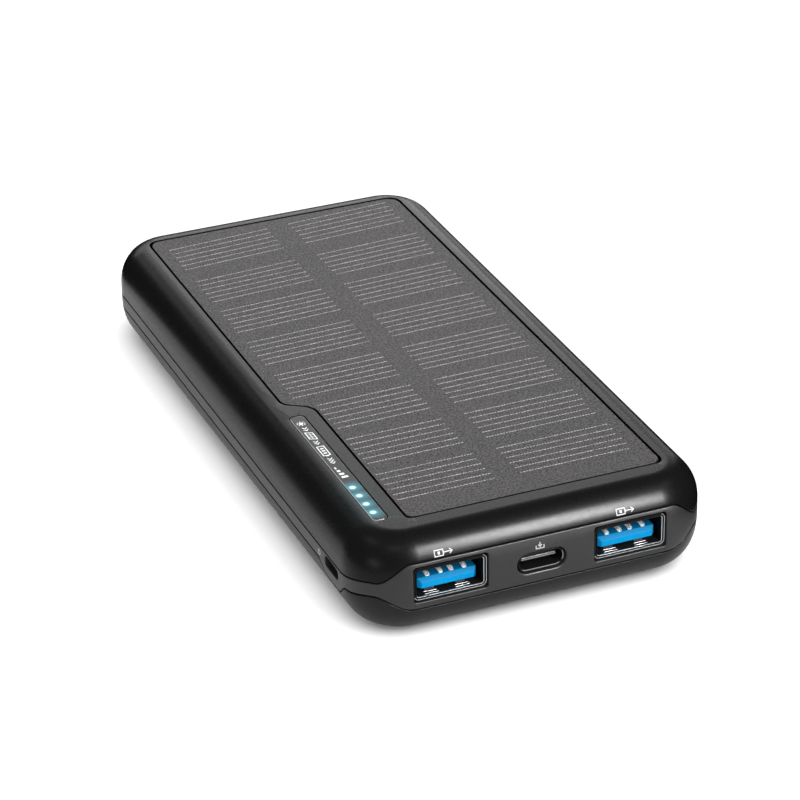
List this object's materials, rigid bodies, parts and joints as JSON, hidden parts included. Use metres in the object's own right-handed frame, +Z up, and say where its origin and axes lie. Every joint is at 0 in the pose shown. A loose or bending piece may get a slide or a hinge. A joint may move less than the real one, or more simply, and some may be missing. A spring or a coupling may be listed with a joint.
{
  "type": "solar power bank",
  "caption": "Flat rounded power bank with a solar panel set flush in its top, charge lights in a side window, USB ports on one short face and a side power button.",
  "frame": {"origin": "centre of the flat base, on the surface the charger lies on", "axes": "+X across the width, to the right seen from the ports; +Y along the length, away from the ports; +Z up, out of the solar panel"},
  "size_m": [0.068, 0.139, 0.0197],
  "materials": {
    "shell_plastic": "satin black moulded plastic",
    "band_plastic": "fine matt black moulded plastic",
    "button_plastic": "semi-gloss black plastic",
    "solar_laminate": "fine-textured dark laminate over silver-ruled cells",
    "tape": "double-sided foam tape",
    "window_lens": "smoked clear lens",
    "clear_plastic": "milky clear plastic",
    "charge_lamp": "lit cyan-white lamp",
    "stainless": "bright stainless steel",
    "blue_plastic": "blue moulded plastic",
    "contact_metal": "plated contact",
    "black_plastic": "black moulded plastic",
    "circuit_board": "green solder mask",
    "ferrite": "sintered ferrite",
    "pouch_foil": "aluminium laminate foil",
    "foam": "closed-cell foam",
    "red_wire": "insulated wire",
    "black_wire": "insulated wire"
  },
  "bodies": {
    "housing": {"top_shell": "shell_plastic", "middle_band": "band_plastic", "bottom_shell": "shell_plastic", "solar_panel": "solar_laminate", "panel_adhesive": "tape", "status_window": "window_lens", "light_guide": "clear_plastic", "charge_light_1": "charge_lamp", "charge_light_2": "charge_lamp", "charge_light_3": "charge_lamp", "charge_light_4": "charge_lamp", "usb_a_shell_left": "stainless", "usb_a_tongue_left": "blue_plastic", "usb_a_shell_right": "stainless", "usb_a_tongue_right": "blue_plastic", "usb_a_contact_left_1": "contact_metal", "usb_a_contact_left_2": "contact_metal", "usb_a_contact_left_3": "contact_metal", "usb_a_contact_left_4": "contact_metal", "usb_a_contact_right_1": "contact_metal", "usb_a_contact_right_2": "contact_metal", "usb_a_contact_right_3": "contact_metal", "usb_a_contact_right_4": "contact_metal", "usb_c_shell": "stainless", "usb_c_tongue": "black_plastic", "tactile_switch": "stainless", "main_board": "circuit_board", "board_screw_left": "stainless", "board_screw_right": "stainless", "power_controller_chip": "black_plastic", "charge_controller_chip": "black_plastic", "boost_inductor_left": "ferrite", "boost_inductor_right": "ferrite", "output_capacitor_left": "black_plastic", "output_capacitor_right": "black_plastic", "battery_cell_lower": "pouch_foil", "battery_cell_upper": "pouch_foil", "base_foam_pad": "foam", "cell_adhesive_pad": "tape", "protection_board": "circuit_board", "battery_lead_positive": "red_wire", "battery_lead_negative": "black_wire", "solar_lead_positive": "red_wire", "solar_lead_negative": "black_wire"},
    "button": {"power_button": "button_plastic", "switch_plunger": "black_plastic"}
  },
  "joints": [
    {"name": "button_press", "type": "slide", "parent": "housing", "child": "button", "axis": [1, 0, 0], "range_m": [0, 0.0004], "stiffness_N_per_m": 4000}
  ]
}
